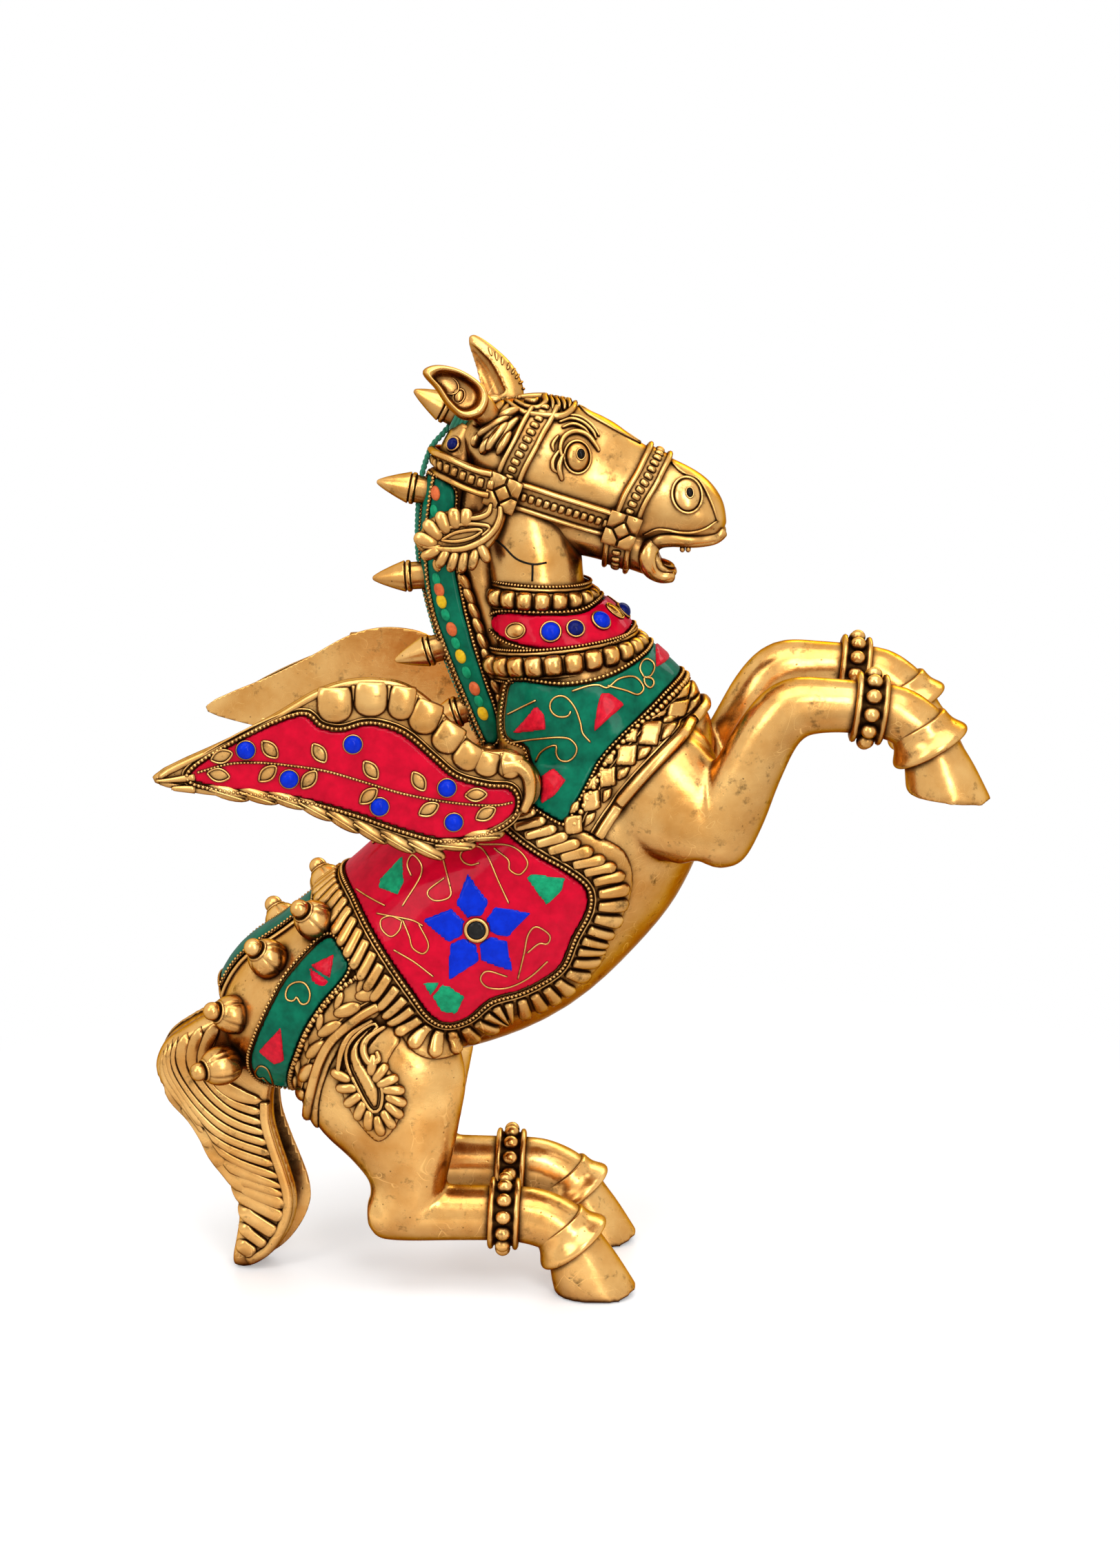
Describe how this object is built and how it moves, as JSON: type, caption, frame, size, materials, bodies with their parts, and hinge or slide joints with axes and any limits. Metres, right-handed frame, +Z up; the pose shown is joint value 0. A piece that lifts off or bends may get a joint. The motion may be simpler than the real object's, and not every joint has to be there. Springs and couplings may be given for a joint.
{
  "type": "winged horse figurine",
  "caption": "Rearing winged horse figurine in antique brass with red, green and blue inlaid panels, standing on its hind hooves and tail.",
  "frame": {"origin": "middle of the figure's box, on the plane that it stands on", "axes": "+X the way that the horse faces, +Y its left side, +Z up"},
  "size_m": [0.2646, 0.1188, 0.3045],
  "materials": {
    "antique_brass": "antique polished, dark in the recesses",
    "red_inlay": "gloss resin and stone chips",
    "green_inlay": "gloss resin and stone chips",
    "blue_inlay": "gloss stone",
    "green_cord": "twisted thread"
  },
  "bodies": {
    "root": {"breast_band": "antique_brass", "browband": "antique_brass", "chest_inlay": "green_inlay", "head": "antique_brass", "left_bell_1": "antique_brass", "left_bell_2": "antique_brass", "left_bell_3": "antique_brass", "left_bell_4": "antique_brass", "left_breech_band": "antique_brass", "left_cheek_strap": "antique_brass", "left_crupper_inlay": "green_inlay", "left_ear": "antique_brass", "left_feather_ornament": "antique_brass", "left_fore_anklet": "antique_brass", "left_foreleg": "antique_brass", "left_hind_anklet": "antique_brass", "left_hindleg": "antique_brass", "left_hip_ornament": "antique_brass", "left_mane_inlay": "green_inlay", "left_saddle_flower": "blue_inlay", "left_wing": "antique_brass", "left_wing_inlay": "red_inlay", "left_wing_stud": "antique_brass", "lower_collar": "antique_brass", "mane_cord": "green_cord", "mane_crest": "antique_brass", "mane_spike_1": "antique_brass", "mane_spike_2": "antique_brass", "mane_spike_3": "antique_brass", "mane_spike_4": "antique_brass", "mane_spike_5": "antique_brass", "neck": "antique_brass", "neck_inlay": "red_inlay", "noseband": "antique_brass", "poll_strap": "antique_brass", "right_bell_1": "antique_brass", "right_bell_2": "antique_brass", "right_bell_3": "antique_brass", "right_bell_4": "antique_brass", "right_breech_band": "antique_brass", "right_cheek_strap": "antique_brass", "right_crupper_inlay": "green_inlay", "right_ear": "antique_brass", "right_feather_ornament": "antique_brass", "right_fore_anklet": "antique_brass", "right_foreleg": "antique_brass", "right_hind_anklet": "antique_brass", "right_hindleg": "antique_brass", "right_hip_ornament": "antique_brass", "right_mane_inlay": "green_inlay", "right_saddle_flower": "blue_inlay", "right_wing": "antique_brass", "right_wing_inlay": "red_inlay", "right_wing_stud": "antique_brass", "rump_inlay": "green_inlay", "saddle_border": "antique_brass", "saddle_inlay": "red_inlay", "tail": "antique_brass", "torso": "antique_brass", "upper_collar": "antique_brass"}
  },
  "joints": []
}
